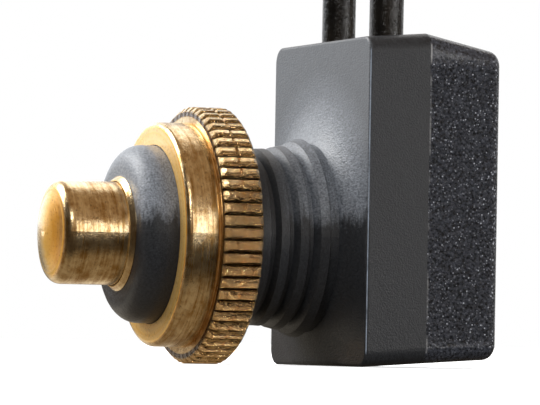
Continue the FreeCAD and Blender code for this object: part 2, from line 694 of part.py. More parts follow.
for side, sign in (("left", "-1"), ("right", "1")):
    outer = f"{sign} * (place.inner_half - size.lip_thickness - 2 * size.loose_fit)"
    inner = f"{sign} * (place.inner_half - size.terminal_width)"
    tongue = f"{sign} * place.tongue_reach"
    barrel_edge = f"{sign} * (place.lead_spread - size.crimp_diameter / 2 + 0.2)"
    barrel_foot = "place.terminal_top - size.crimp_length"
    terminal = new_body(f"{side}_terminal")
    strip_profile = new_sketch(terminal, f"{side}_strip_profile", "XZ_Plane", "-place.terminal_front")
    outline(strip_profile, [
        (tongue, "-size.arm_height / 2"), (outer, "-size.arm_height / 2"), (outer, "place.terminal_top"),
        (barrel_edge, "place.terminal_top"), (barrel_edge, barrel_foot), (inner, barrel_foot),
        (inner, "size.arm_height / 2"), (tongue, "size.arm_height / 2"),
    ])
    extrude(terminal, strip_profile, f"{side}_strip", "size.terminal_thickness", backwards=True)
    barrel_profile = new_sketch(terminal, f"{side}_barrel_profile", "XY_Plane", barrel_foot)
    circle(barrel_profile, f"{sign} * place.lead_spread", "size.lead_setback", "size.crimp_diameter / 2")
    extrude(terminal, barrel_profile, f"{side}_barrel", "size.crimp_length")
    hole_profile = new_sketch(terminal, f"{side}_barrel_hole_profile", "XY_Plane", f"{barrel_foot} - 0.5")
    circle(hole_profile, f"{sign} * place.lead_spread", "size.lead_setback", "size.conductor_diameter / 2")
    extrude(terminal, hole_profile, f"{side}_barrel_hole", "size.crimp_length + 1", "Pocket", backwards=True)

    fixed = button(f"{side}_contact", f"{sign} * place.contact_radius", "place.terminal_rear + place.shift",
                   "place.fixed_contact_tip - place.terminal_rear")
    fixed.Label = f"{side}_contact"
    fixed.setExpression("Placement.Base.z", "place.rise")
    pieces.append(fixed)

    conductor = doc.addObject("Part::Cylinder", f"{side}_conductor")
    conductor.setExpression("Radius", "size.conductor_diameter / 2")
    conductor.setExpression("Height", f"place.lead_start - ({barrel_foot})")
    conductor.setExpression("Placement.Base.x", f"{sign} * place.lead_spread")
    conductor.setExpression("Placement.Base.y", "size.lead_setback + place.shift")
    conductor.setExpression("Placement.Base.z", f"{barrel_foot} + place.rise")
    conductor.Label = f"{side}_conductor"
    pieces.append(conductor)


# Springs: round wire on a helix about the nose axis


def coil_spring(label, diameter, wire, turns, start, end):
    """A compression spring between two seats, its wire's middle half a wire inside each seat."""
    helix = doc.addObject("Part::Helix", f"{label}_helix")
    helix.setExpression("Radius", f"({diameter}) / 2")
    helix.setExpression("Height", f"({end}) - ({start}) - ({wire})")
    helix.setExpression("Pitch", f"(({end}) - ({start}) - ({wire})) / ({turns})")
    section = doc.addObject("Part::Circle", f"{label}_section")
    section.setExpression("Radius", f"({wire}) / 2")
    section.Placement = FreeCAD.Placement(V(0, 0, 0), FreeCAD.Rotation(V(1, 0, 0), 90))
    section.setExpression("Placement.Base.x", f"({diameter}) / 2")
    spring = doc.addObject("Part::Sweep", label)
    spring.Sections = [section]
    spring.Spine = (helix, ["Edge1"])
    spring.Solid = True
    spring.Frenet = True
    spring.Placement = FreeCAD.Placement(V(0, 0, 0), FreeCAD.Rotation(V(1, 0, 0), -90))
    spring.Label = label
    spring.setExpression("Placement.Base.y", f"({start}) + ({wire}) / 2 + place.shift")
    spring.setExpression("Placement.Base.z", "place.rise")
    pieces.append(spring)


coil_spring("plunger_spring", "size.button_spring_diameter", "size.button_spring_wire",
            "size.button_spring_turns", "place.flange_rear", "place.web_front")
coil_spring("rotor_spring", "size.rotor_spring_diameter", "size.rotor_spring_wire",
            "size.rotor_spring_turns", "place.washer_rear", "place.room_rear")


# Leads: each leaves the housing straight up, arches over to the rear and runs into its coil on the ground


def tube(points, diameter):
    """A round cord along straight runs with tangent arcs, and the radii of its arcs."""
    radius = diameter / 2
    edges, radii = [], []
    last = points[0]
    for before, corner, after in zip(points, points[1:], points[2:]):
        come, leave = corner - before, after - corner
        half_turn = come.getAngle(leave) / 2
        bend = 0.45 * min(come.Length, leave.Length) / math.tan(half_turn)
        cut = bend * math.tan(half_turn)
        come.normalize()
        leave.normalize()
        enter, depart = corner - come * cut, corner + leave * cut
        inward = (leave - come).normalize()
        middle = corner + inward * (bend / math.cos(half_turn) - bend)
        edges.append(Part.LineSegment(last, enter).toShape())
        edges.append(Part.Arc(enter, middle, depart).toShape())
        radii.append(round(bend, 2))
        last = depart
    edges.append(Part.LineSegment(last, points[-1]).toShape())
    path = Part.Wire(edges)
    ring = Part.Wire([Part.Circle(points[0], points[1] - points[0], radius).toShape()])
    solid = path.makePipeShell([ring], True, True)
    expected = math.pi * radius ** 2 * path.Length
    print(f"cord of {path.Length:.1f} mm, volume {solid.Volume:.1f} of {expected:.1f} mm3, arc radii {radii}")
    return solid


def add_solid(label, shape):
    piece = doc.addObject("Part::Feature", label)
    piece.Shape = shape
    stand(piece, label)


lead_diameter = value("size.lead_diameter")
lead_radius = lead_diameter / 2
exit_x, exit_y = value("place.lead_spread"), value("size.lead_setback")
coil_y = value("size.coil_setback")
ground = value("place.ground")
tie = value("size.tie_thickness")
level = ground + tie + lead_radius

# The arch turns by eighths: a run along it covers "run", and "slant" across each way where it slopes
run, slant = 10.5, 7.42
knee_height = 16.0
arch_foot = knee_height + run
landing_y = coil_y - run - slant
half_space = lead_radius + value("size.seat_gap") / 2
for side, sign in (("left", -1), ("right", 1)):
    # Side by side into the coil: the left lead runs inside the right one
    track = value("size.coil_radius") + sign * half_space
    rising = V(sign * exit_x, exit_y, arch_foot)
    landing = V(track, landing_y, arch_foot)
    across = V(landing.x - rising.x, landing.y - rising.y, 0).normalize()
    route = [
        V(rising.x, exit_y, value("place.lead_start")),
        V(rising.x, exit_y + 0.1, knee_height),
        rising,
        rising + across * slant + V(0, 0, slant),
        landing - across * slant + V(0, 0, slant),
        landing,
        V(track + 0.15, landing_y, arch_foot / 2),
        V(track, landing_y, level + slant),
        V(track, landing_y + slant, level),
        V(track, coil_y, level),
    ]
    add_solid(f"{side}_lead", tube(route, lead_diameter))

    # The coil: three quarters of a round on the ground, ending at its front, where the stripped tip follows
    section = Part.Wire([Part.Circle(V(track, coil_y, level), V(0, 1, 0), lead_radius).toShape()])
    add_solid(f"{side}_lead_coil", Part.Face(section).revolve(V(0, coil_y, 0), V(0, 0, 1), 270))
    add_solid(f"{side}_lead_tip", Part.makeCylinder(
        value("size.conductor_diameter") / 2, value("size.tip_length"), V(0, coil_y - track, level), V(1, 0, 0)))

# Tie: a flat band round both leads at the rear of the coil
tie_gap = 0.15
tie_reach = 2 * half_space + tie_gap
band_low = V(-value("size.tie_width") / 2, coil_y + value("size.coil_radius") - tie_reach - tie, ground)
band_size = V(value("size.tie_width"), 2 * (tie_reach + tie), lead_diameter + 2 * tie + tie_gap)
band = Part.makeBox(band_size.x, band_size.y, band_size.z, band_low)
hollow = Part.makeBox(band_size.x + 2, band_size.y - 2 * tie, band_size.z - 2 * tie, band_low + V(-1, tie, tie))
add_solid("coil_tie", band.cut(hollow))


# Checks before anything is written

doc.recompute()
faults = []
for item in doc.Objects:
    if "Invalid" in item.State or "Error" in item.State:
        faults.append(f"{item.Name}: {item.State}")
for piece in pieces:
    shape = piece.Shape
    if shape.isNull() or not shape.isValid():
        faults.append(f"{piece.Label}: no valid shape")
if faults:
    raise SystemExit("faults: " + "; ".join(faults))

os.makedirs("parts", exist_ok=True)
for piece in pieces:
    piece.Shape.exportStep(f"parts/{piece.Label}.step")
    box = piece.Shape.optimalBoundingBox(False)
    print(f"{piece.Label}: {piece.Shape.Volume:.2f} mm3, {len(piece.Shape.Solids)} solid(s),",
          f"x {box.XMin:.2f} to {box.XMax:.2f}, y {box.YMin:.2f} to {box.YMax:.2f}, z {box.ZMin:.2f} to {box.ZMax:.2f}")
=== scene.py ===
import math

import bpy
from mathutils import Matrix, Vector


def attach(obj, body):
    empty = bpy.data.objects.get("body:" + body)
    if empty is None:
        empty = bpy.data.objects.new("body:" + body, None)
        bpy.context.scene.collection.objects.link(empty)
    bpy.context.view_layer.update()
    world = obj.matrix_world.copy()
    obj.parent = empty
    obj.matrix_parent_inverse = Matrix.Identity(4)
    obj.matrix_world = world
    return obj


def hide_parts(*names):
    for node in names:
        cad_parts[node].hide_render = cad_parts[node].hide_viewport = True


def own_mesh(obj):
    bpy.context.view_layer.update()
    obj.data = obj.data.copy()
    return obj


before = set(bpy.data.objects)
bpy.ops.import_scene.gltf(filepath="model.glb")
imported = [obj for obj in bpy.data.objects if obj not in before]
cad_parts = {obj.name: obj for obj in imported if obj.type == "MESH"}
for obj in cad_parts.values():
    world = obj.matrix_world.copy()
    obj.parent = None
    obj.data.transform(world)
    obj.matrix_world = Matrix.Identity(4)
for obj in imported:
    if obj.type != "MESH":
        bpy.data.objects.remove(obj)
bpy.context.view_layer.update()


# Camera: level with the foot of the switch and looking a little upwards, from the right of the button.
# The long lens and its slight roll are those of the photograph.

mm = 0.001
look_at = Vector((0, 1.479, 10.953)) * mm
distance = 331.8 * mm
azimuth, elevation, roll = math.radians(69.767), math.radians(-1.599), math.radians(1.045)

backwards = Vector((math.sin(azimuth) * math.cos(elevation),
                    -math.cos(azimuth) * math.cos(elevation),
                    math.sin(elevation)))
level_right = backwards.cross(Vector((0, 0, -1))).normalized()
level_up = backwards.cross(level_right)
right = level_right * math.cos(roll) + level_up * math.sin(roll)
up = level_up * math.cos(roll) - level_right * math.sin(roll)

camera_data = bpy.data.cameras.new("camera")
camera_data.sensor_width = 36
camera_data.lens = 328.06
camera_data.clip_start = 0.01
camera_data.clip_end = 20
camera = bpy.data.objects.new("camera", camera_data)
bpy.context.scene.collection.objects.link(camera)
camera.matrix_world = Matrix.Translation(look_at + backwards * distance) @ Matrix(
    (right, up, backwards)).transposed().to_4x4()
bpy.context.scene.camera = camera


# Leads: two stranded wires in glossy black PVC, 2.3 mm over the insulation and about 6 in long. Each is
# crimped inside the box, stands up out of its top, arches over to the back and lies in an open round.


def srgb(code):
    """A colour written as #rrggbb, turned to the linear values that shaders take."""
    channels = [int(code[place:place + 2], 16) / 255 for place in (1, 3, 5)]
    linear = [c / 12.92 if c <= 0.04045 else ((c + 0.055) / 1.055) ** 2.4 for c in channels]
    return (*linear, 1)


def add_node(tree, kind, inputs=None, stops=(), **settings):
    """A new node. inputs maps a socket's name or number to a value, or to the output that feeds it.
    stops holds a colour ramp's places and colours."""
    made = tree.nodes.new(kind)
    for name, setting in settings.items():
        setattr(made, name, setting)
    for name, value in (inputs or {}).items():
        if isinstance(value, bpy.types.NodeSocket):
            tree.links.new(value, made.inputs[name])
        else:
            made.inputs[name].default_value = value
    for number, (position, colour) in enumerate(stops):
        ramp = made.color_ramp.elements
        stop = ramp[number] if number < 2 else ramp.new(position)
        stop.position = position
        stop.color = srgb(colour) if isinstance(colour, str) else colour
    return made


def new_material(name):
    """An empty material that uses nodes, and its tree."""
    made = bpy.data.materials.new(name)
    made.use_nodes = True
    made.node_tree.nodes.clear()
    return made, made.node_tree


# PVC insulation, extruded: glossy black with a lumpy skin that breaks up its highlights into flecks
pvc, tree = new_material("extruded_pvc")
place = add_node(tree, "ShaderNodeTexCoord").outputs["Object"]
lumps = add_node(tree, "ShaderNodeTexNoise", {"Vector": place, "Scale": 1 / (0.32 * mm), "Detail": 4,
                                              "Roughness": 0.6})
shade = add_node(tree, "ShaderNodeTexNoise", {"Vector": place, "Scale": 1 / (2.2 * mm), "Detail": 2})
bump = add_node(tree, "ShaderNodeBump", {"Height": lumps.outputs["Fac"], "Strength": 0.9,
                                         "Distance": 0.08 * mm})
tint = add_node(tree, "ShaderNodeValToRGB", {"Fac": shade.outputs["Fac"]},
                ((0.35, "#0f0e0d"), (0.7, "#1d1915")))
gloss = add_node(tree, "ShaderNodeMapRange", {"Value": lumps.outputs["Fac"], "From Min": 0.35,
                                              "From Max": 0.65, "To Min": 0.1, "To Max": 0.28})
shader = add_node(tree, "ShaderNodeBsdfPrincipled", {"Base Color": tint.outputs[0],
                                                     "Roughness": gloss.outputs[0],
                                                     "Specular IOR Level": 0.4, "Normal": bump.outputs[0]})
add_node(tree, "ShaderNodeOutputMaterial", {"Surface": shader.outputs[0]})

axis_height = 8.6
lead_diameter, lead_gap = 2.3, 0.05
lead_across, lead_back = 4.45, 7.875
crimp_top, knee, arch_foot, bend_mid = 17.35, 24.6, 35.1, 21.85
run, slant = 10.5, 7.42
coil_middle, coil_level, coil_radius = 49.725, 1.45, 11.5
coil_turn, coil_points = 270, 10
landing_y = coil_middle - run - slant
leads, tracks = {}, {}
for side, sign in (("left", -1), ("right", 1)):
    track = coil_radius + sign * (lead_diameter + lead_gap) / 2
    rising = Vector((sign * lead_across, lead_back, arch_foot))
    landing = Vector((track, landing_y, arch_foot))
    across = Vector((landing.x - rising.x, landing.y - rising.y, 0)).normalized()
    route = [
        Vector((rising.x, rising.y, crimp_top)),
        Vector((rising.x, rising.y + 0.1, knee)),
        rising,
        rising + across * slant + Vector((0, 0, slant)),
        landing - across * slant + Vector((0, 0, slant)),
        landing,
        Vector((track + 0.15, landing_y, bend_mid)),
        Vector((track, landing_y, coil_level + slant)),
        Vector((track, landing_y + slant, coil_level)),
        Vector((track, coil_middle, coil_level)),
    ]
    # The open round: three quarters of a turn, whose points lie where two tangents meet
    step = math.radians(coil_turn / coil_points)
    for number in range(coil_points):
        angle = (number + 0.5) * step
        reach = track / math.cos(step / 2)
        route.append(Vector((reach * math.cos(angle), coil_middle + reach * math.sin(angle), coil_level)))
    route.append(Vector((0, coil_middle - track, coil_level)))

    line = bpy.data.curves.new(f"{side}_lead_cord", "CURVE")
    line.dimensions = "3D"
    spline = line.splines.new("NURBS")
    spline.points.add(len(route) - 1)
    for point, spot in zip(spline.points, route):
        point.co = (*(spot * mm), 1)
    spline.order_u = 3
    spline.use_endpoint_u = True
    spline.resolution_u = 10
    line.bevel_depth = lead_diameter / 2 * mm
    line.bevel_resolution = 8
    line.use_fill_caps = True
    line.materials.append(pvc)
    piece = bpy.data.objects.new(f"{side}_lead_cord", line)
    bpy.context.scene.collection.objects.link(piece)
    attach(piece, "switch_body")
    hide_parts(f"{side}_lead", f"{side}_lead_coil")
    leads[side], tracks[side] = piece, track

# Lead tips and crimped conductors: tinned copper strands with a slight lay, and the tie of the coil
tinned, tree = new_material("tinned_copper_strands")
place = add_node(tree, "ShaderNodeTexCoord").outputs["Object"]
strands = add_node(tree, "ShaderNodeTexNoise", {"Vector": place, "Scale": 1 / (0.3 * mm), "Detail": 3})
bump = add_node(tree, "ShaderNodeBump", {"Height": strands.outputs["Fac"], "Strength": 0.3,
                                         "Distance": 0.03 * mm})
gloss = add_node(tree, "ShaderNodeMapRange", {"Value": strands.outputs["Fac"], "To Min": 0.2,
                                              "To Max": 0.45})
shader = add_node(tree, "ShaderNodeBsdfPrincipled", {"Base Color": srgb("#c9c6bf"), "Metallic": 1.0,
                                                     "Roughness": gloss.outputs[0],
                                                     "Normal": bump.outputs[0]})
add_node(tree, "ShaderNodeOutputMaterial", {"Surface": shader.outputs[0]})


def new_tree(name, *sizes):
    """An empty Geometry Nodes tree with a named input for each size, and its input and output nodes."""
    made = bpy.data.node_groups.new(name, "GeometryNodeTree")
    for label in sizes:
        made.interface.new_socket(label, in_out="INPUT", socket_type="NodeSocketFloat")
    made.interface.new_socket("Geometry", in_out="OUTPUT", socket_type="NodeSocketGeometry")
    return made, add_node(made, "NodeGroupInput").outputs, add_node(made, "NodeGroupOutput")


def grow(name, tree, material, sizes, placement):
    """Runs a Geometry Nodes tree at these sizes and gives its result as a plain mesh in place."""
    seed = bpy.data.objects.new(name, bpy.data.meshes.new(name))
    bpy.context.scene.collection.objects.link(seed)
    modifier = seed.modifiers.new("growth", "NODES")
    modifier.node_group = tree
    for socket in tree.interface.items_tree:
        if socket.in_out == "INPUT":
            modifier[socket.identifier] = sizes[socket.name]
    seed.update_tag()
    bpy.context.view_layer.update()
    made = bpy.data.meshes.new_from_object(seed.evaluated_get(bpy.context.evaluated_depsgraph_get()))
    seed.modifiers.remove(modifier)
    made.transform(placement)
    made.materials.clear()
    made.materials.append(material)
    seed.data = made
    return seed


def give_material(material, *names):
    """Gives these CAD pieces the material in all their slots."""
    for name in names:
        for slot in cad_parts[name].material_slots:
            slot.material = material


# Seven round strands, the outer six laid round the first: each is a spiral with a round section, and their
# middle lines stand ring_ratio strand radii off
outer_strands, ring_ratio = 6, 2.02
strand_tree, given, result = new_tree("laid_strands", "Length", "Strand Radius", "Lay")
turns = add_node(strand_tree, "ShaderNodeMath", {0: given["Length"], 1: given["Lay"]}, operation="DIVIDE")
ring = add_node(strand_tree, "ShaderNodeMath", {0: given["Strand Radius"], 1: ring_ratio},
                operation="MULTIPLY")
outer = add_node(strand_tree, "GeometryNodeCurveSpiral", {
    "Resolution": 40, "Rotations": turns.outputs[0], "Start Radius": ring.outputs[0],
    "End Radius": ring.outputs[0], "Height": given["Length"]})
end = add_node(strand_tree, "ShaderNodeCombineXYZ", {"Z": given["Length"]})
core = add_node(strand_tree, "GeometryNodeCurvePrimitiveLine", {"End": end.outputs[0]})
spots = add_node(strand_tree, "GeometryNodeMeshCircle", {"Vertices": outer_strands, "Radius": 0.0})
number = add_node(strand_tree, "GeometryNodeInputIndex")
angle = add_node(strand_tree, "ShaderNodeMath", {0: number.outputs[0], 1: math.tau / outer_strands},
                 operation="MULTIPLY")
turn = add_node(strand_tree, "ShaderNodeCombineXYZ", {"Z": angle.outputs[0]})
rope = add_node(strand_tree, "GeometryNodeInstanceOnPoints", {
    "Points": spots.outputs[0], "Instance": outer.outputs[0], "Rotation": turn.outputs[0]})
joined = add_node(strand_tree, "GeometryNodeJoinGeometry")
strand_tree.links.new(rope.outputs[0], joined.inputs[0])
strand_tree.links.new(core.outputs[0], joined.inputs[0])
loose = add_node(strand_tree, "GeometryNodeRealizeInstances", {"Geometry": joined.outputs[0]})
section = add_node(strand_tree, "GeometryNodeCurvePrimitiveCircle", {"Resolution": 8,
                                                                    "Radius": given["Strand Radius"]})
bundle = add_node(strand_tree, "GeometryNodeCurveToMesh", {
    "Curve": loose.outputs[0], "Profile Curve": section.outputs[0], "Fill Caps": True})
real = add_node(strand_tree, "GeometryNodeRealizeInstances", {"Geometry": bundle.outputs[0]})
painted = add_node(strand_tree, "GeometryNodeSetMaterial", {"Geometry": real.outputs[0], "Material": tinned})
strand_tree.links.new(painted.outputs[0], result.inputs[0])

for side, sign in (("left", -1), ("right", 1)):
    round_end = Vector((0, coil_middle - tracks[side], coil_level))
    along_x = Matrix.Translation(round_end * mm) @ Matrix.Rotation(math.pi / 2, 4, "Y")
    tip = grow(f"{side}_lead_strands", strand_tree, tinned,
               {"Length": 8 * mm, "Strand Radius": 0.18 * mm, "Lay": 7 * mm}, along_x)
    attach(tip, "switch_body")
    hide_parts(f"{side}_lead_tip")
give_material(tinned, "left_conductor", "right_conductor")

# The tie is a strip of black nylon with a fine moulded grain
nylon_tie, tree = new_material("moulded_nylon_strip")
place = add_node(tree, "ShaderNodeTexCoord").outputs["Object"]
ribs = add_node(tree, "ShaderNodeTexWave", {"Vector": place, "Scale": 1 / (4 * mm), "Distortion": 0.4},
                bands_direction="Y")
bump = add_node(tree, "ShaderNodeBump", {"Height": ribs.outputs["Fac"], "Strength": 0.4,
                                         "Distance": 0.05 * mm})
shader = add_node(tree, "ShaderNodeBsdfPrincipled", {"Base Color": srgb("#232325"), "Roughness": 0.45,
                                                     "IOR": 1.53, "Normal": bump.outputs[0]})
add_node(tree, "ShaderNodeOutputMaterial", {"Surface": shader.outputs[0]})
give_material(nylon_tie, "coil_tie")


# Housing: box front and threaded nose in one moulding of dark grey phenolic, from a blasted mould. Its skin
# is satin and finely speckled; a pale painted highlight with ragged edges lies on its upper side, and a pale
# painted line along its front arris.

phenolic, tree = new_material("moulded_phenolic")
place = add_node(tree, "ShaderNodeTexCoord").outputs["Object"]
long_grain = add_node(tree, "ShaderNodeVectorMath", {0: place, 1: (0.4, 1, 1)}, operation="MULTIPLY")
fine = add_node(tree, "ShaderNodeTexNoise", {"Vector": long_grain.outputs[0], "Scale": 1 / (0.12 * mm),
                                             "Detail": 3, "Roughness": 0.6})
cloud = add_node(tree, "ShaderNodeTexNoise", {"Vector": place, "Scale": 1 / (0.9 * mm), "Detail": 5})
tint = add_node(tree, "ShaderNodeValToRGB", {"Fac": fine.outputs["Fac"]},
                ((0.3, "#252629"), (0.72, "#393b3e")))
# Painted highlight: a pale line along the arris between the front and the sides, broken up in patches
parts = add_node(tree, "ShaderNodeSeparateXYZ", {"Vector": place})
side_reach = add_node(tree, "ShaderNodeMath", {0: parts.outputs["X"]}, operation="ABSOLUTE")
near_side = add_node(tree, "ShaderNodeMapRange", {"Value": side_reach.outputs[0], "From Min": 8.96 * mm,
                                                  "From Max": 8.99 * mm})
near_front = add_node(tree, "ShaderNodeMapRange", {"Value": parts.outputs["Y"], "From Min": 5.1 * mm,
                                                   "From Max": 5.14 * mm, "To Min": 1.0, "To Max": 0.0})
on_arris = add_node(tree, "ShaderNodeMath", {0: near_side.outputs[0], 1: near_front.outputs[0]},
                    operation="MULTIPLY")
patchy = add_node(tree, "ShaderNodeMapRange", {"Value": cloud.outputs["Fac"], "From Min": 0.3,
                                             "From Max": 0.55, "To Min": 0.35, "To Max": 1.0})
arris_highlight = add_node(tree, "ShaderNodeMath", {0: on_arris.outputs[0], 1: patchy.outputs[0]}, operation="MULTIPLY")
edge_highlight = add_node(tree, "ShaderNodeMix", {"Factor": arris_highlight.outputs[0], 6: tint.outputs[0],
                                             7: srgb("#aab6c6")}, data_type="RGBA")
# Painted highlight: pale light with ragged edges on the upper half of the nose, of its root and of the box
# front, as if lit from above; faces that look down stay dark
shape = add_node(tree, "ShaderNodeNewGeometry")
facing = add_node(tree, "ShaderNodeSeparateXYZ", {"Vector": shape.outputs["Normal"]})
streaks = add_node(tree, "ShaderNodeVectorMath", {0: place, 1: (1, 1, 0.4)}, operation="MULTIPLY")
ragged = add_node(tree, "ShaderNodeTexNoise", {"Vector": streaks.outputs[0], "Scale": 1 / (0.6 * mm),
                                               "Detail": 6, "Roughness": 0.7})
edge = add_node(tree, "ShaderNodeMath", {0: ragged.outputs["Fac"], 1: 5 * mm, 2: parts.outputs["Z"]},
                operation="MULTIPLY_ADD")
lit_from_above = add_node(tree, "ShaderNodeMapRange", {"Value": edge.outputs[0], "From Min": (axis_height + 3.2) * mm,
                                              "From Max": (axis_height + 4.4) * mm})
not_under = add_node(tree, "ShaderNodeMapRange", {"Value": facing.outputs["Z"], "From Min": -0.5,
                                                  "From Max": -0.1})
# From front to back the painted highlight lies on the nose's mouth, stops behind the ring nut as painted
# shade of the nut, comes back on the root's grooves and on the box front, where it thins out away from the
# axis, and leaves the sides clean
sheen_reach = add_node(tree, "ShaderNodeMapRange", {"Value": parts.outputs["Y"], "From Min": -10 * mm,
                                              "From Max": 10 * mm})
sheen_reach = add_node(tree, "ShaderNodeValToRGB", {"Fac": sheen_reach.outputs[0]}, [
    (position, (amount, amount, amount, 1))
    for position, amount in ((0.15, 0.8), (0.17, 0.0), (0.5, 0.0), (0.6, 0.5), (0.7, 0.68), (0.755, 0.68),
                             (0.76, 0.0))])
off_axis = add_node(tree, "ShaderNodeVectorMath", {0: place, 1: (0, 0, -axis_height * mm)}, operation="ADD")
off_axis = add_node(tree, "ShaderNodeVectorMath", {0: off_axis.outputs[0], 1: (1, 0, 1)},
                    operation="MULTIPLY")
off_axis = add_node(tree, "ShaderNodeVectorMath", {0: off_axis.outputs[0]}, operation="LENGTH")
thinning = add_node(tree, "ShaderNodeMapRange", {"Value": off_axis.outputs["Value"], "From Min": 8.0 * mm,
                                                 "From Max": 11.5 * mm, "To Min": 1.0, "To Max": 0.3})
sheen_reach = add_node(tree, "ShaderNodeMath", {0: sheen_reach.outputs[0], 1: thinning.outputs[0]}, operation="MULTIPLY")
painted_sheen = add_node(tree, "ShaderNodeMath", {0: lit_from_above.outputs[0], 1: not_under.outputs[0]},
                  operation="MULTIPLY")
painted_sheen = add_node(tree, "ShaderNodeMath", {0: painted_sheen.outputs[0], 1: sheen_reach.outputs[0]}, operation="MULTIPLY")
# The painted highlight's pale, speckled tint
sheen_tint = add_node(tree, "ShaderNodeValToRGB", {"Fac": fine.outputs["Fac"]},
                 ((0.32, "#5f646b"), (0.68, "#a1a6ae")))
sheened = add_node(tree, "ShaderNodeMix", {"Factor": painted_sheen.outputs[0], 6: edge_highlight.outputs[2],
                                          7: sheen_tint.outputs[0]}, data_type="RGBA")
rough = add_node(tree, "ShaderNodeBump", {"Height": cloud.outputs["Fac"], "Strength": 0.15,
                                          "Distance": 0.1 * mm})
bump = add_node(tree, "ShaderNodeBump", {"Height": fine.outputs["Fac"], "Normal": rough.outputs[0],
                                         "Strength": 0.55, "Distance": 0.05 * mm})
gloss = add_node(tree, "ShaderNodeMapRange", {"Value": fine.outputs["Fac"], "From Min": 0.3, "From Max": 0.7,
                                              "To Min": 0.3, "To Max": 0.5})
shader = add_node(tree, "ShaderNodeBsdfPrincipled", {"Base Color": sheened.outputs[2],
                                                     "Specular IOR Level": 0.35,
                                                     "Roughness": gloss.outputs[0],
                                                     "Normal": bump.outputs[0]})
add_node(tree, "ShaderNodeOutputMaterial", {"Surface": shader.outputs[0]})
give_material(phenolic, "housing")

# The nose's root runs out into the box front in a wide hollow sweep: a ring turned about the nose's axis.
# Its section, in points (radius, distance back), is a cubic curve with its back sunk into the front, and the
# ring is cut off short of the sides and the foot.
sweep, sweep_rim, curve_steps = ((6.3, 4.05), (6.95, 4.5), (8.0, 4.98), (9.7, 5.03)), (9.95, 5.036), 16
buried, side_limit, foot_limit = 5.2, 8.92, 0.12
fillet_profile = [(sweep[0][0], buried)]
for number in range(curve_steps + 1):
    t = number / curve_steps
    weights = ((1 - t) ** 3, 3 * t * (1 - t) ** 2, 3 * t ** 2 * (1 - t), t ** 3)
    fillet_profile.append((sum(weight * radius for weight, (radius, back) in zip(weights, sweep)),
                           sum(weight * back for weight, (radius, back) in zip(weights, sweep))))
fillet_profile += [sweep_rim, (sweep_rim[0], buried)]
steps, rows = 144, len(fillet_profile)
spots, quads = [], []
for step_number in range(steps):
    turned = math.tau * step_number / steps
    for radius, back in fillet_profile:
        across = max(-side_limit, min(side_limit, radius * math.cos(turned)))
        upright = max(foot_limit, axis_height + radius * math.sin(turned))
        spots.append((across * mm, back * mm, upright * mm))
    for row in range(rows):
        here, beyond = step_number * rows, (step_number + 1) % steps * rows
        quads.append((here + row, here + (row + 1) % rows, beyond + (row + 1) % rows, beyond + row))
ring = bpy.data.meshes.new("root_fillet")
ring.from_pydata(spots, [], quads)
# The sweep is shaded smooth, and the faces behind it flat
ring.polygons.foreach_set("use_smooth", [0 < number % rows < rows - 2 for number in range(len(quads))])
ring.materials.append(phenolic)
fillet = bpy.data.objects.new("root_fillet", ring)
bpy.context.scene.collection.objects.link(fillet)
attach(fillet, "switch_body")


# Rear cover: black moulding with a coarse spark-eroded grain, pressed into the housing's open back. Painted
# glints, bright flecks in the grain, stand for light caught by its facets, and its top and foot are smooth.

grained, tree = new_material("spark_eroded_moulding")
place = add_node(tree, "ShaderNodeTexCoord").outputs["Object"]
grains = add_node(tree, "ShaderNodeTexNoise", {"Vector": place, "Scale": 1 / (0.19 * mm), "Detail": 4,
                                               "Roughness": 0.62})
pits = add_node(tree, "ShaderNodeTexVoronoi", {"Vector": place, "Scale": 1 / (0.24 * mm)})
height = add_node(tree, "ShaderNodeMath", {0: grains.outputs["Fac"], 1: pits.outputs["Distance"]},
                  operation="SUBTRACT")
# The grain stops short of the rounded top and foot, which stay smooth
cover_middle = 11.0
parts = add_node(tree, "ShaderNodeSeparateXYZ", {"Vector": place})
from_middle = add_node(tree, "ShaderNodeMath", {0: parts.outputs["Z"], 1: cover_middle * mm},
                       operation="SUBTRACT")
from_middle = add_node(tree, "ShaderNodeMath", {0: from_middle.outputs[0]}, operation="ABSOLUTE")
depth = add_node(tree, "ShaderNodeMapRange", {"Value": from_middle.outputs[0], "From Min": 9.0 * mm,
                                              "From Max": 9.7 * mm, "To Min": 1.0, "To Max": 0.12})
bump = add_node(tree, "ShaderNodeBump", {"Height": height.outputs[0], "Strength": depth.outputs[0],
                                         "Distance": 0.22 * mm})
tint = add_node(tree, "ShaderNodeValToRGB", {"Fac": grains.outputs["Fac"]},
                ((0.35, "#16181c"), (0.66, "#4e515a")))
# Painted glints: bright flecks in the grain, in place of light caught by its facets
cells = add_node(tree, "ShaderNodeTexVoronoi", {"Vector": place, "Scale": 1 / (0.2 * mm)})
lot = add_node(tree, "ShaderNodeSeparateColor", {"Color": cells.outputs["Color"]})
painted_glint = add_node(tree, "ShaderNodeMapRange", {"Value": cells.outputs["Distance"], "From Min": 0.3,
                                              "From Max": 0.42, "To Min": 1.0, "To Max": 0.0})
chosen = add_node(tree, "ShaderNodeMapRange", {"Value": lot.outputs[0], "From Min": 0.3, "From Max": 0.95})
painted_glint = add_node(tree, "ShaderNodeMath", {0: painted_glint.outputs[0], 1: chosen.outputs[0]}, operation="MULTIPLY")
painted_glint = add_node(tree, "ShaderNodeMath", {0: painted_glint.outputs[0], 1: depth.outputs[0]}, operation="MULTIPLY")
glinting = add_node(tree, "ShaderNodeMix", {"Factor": painted_glint.outputs[0], 6: tint.outputs[0],
                                           7: srgb("#c9ccd6")}, data_type="RGBA")
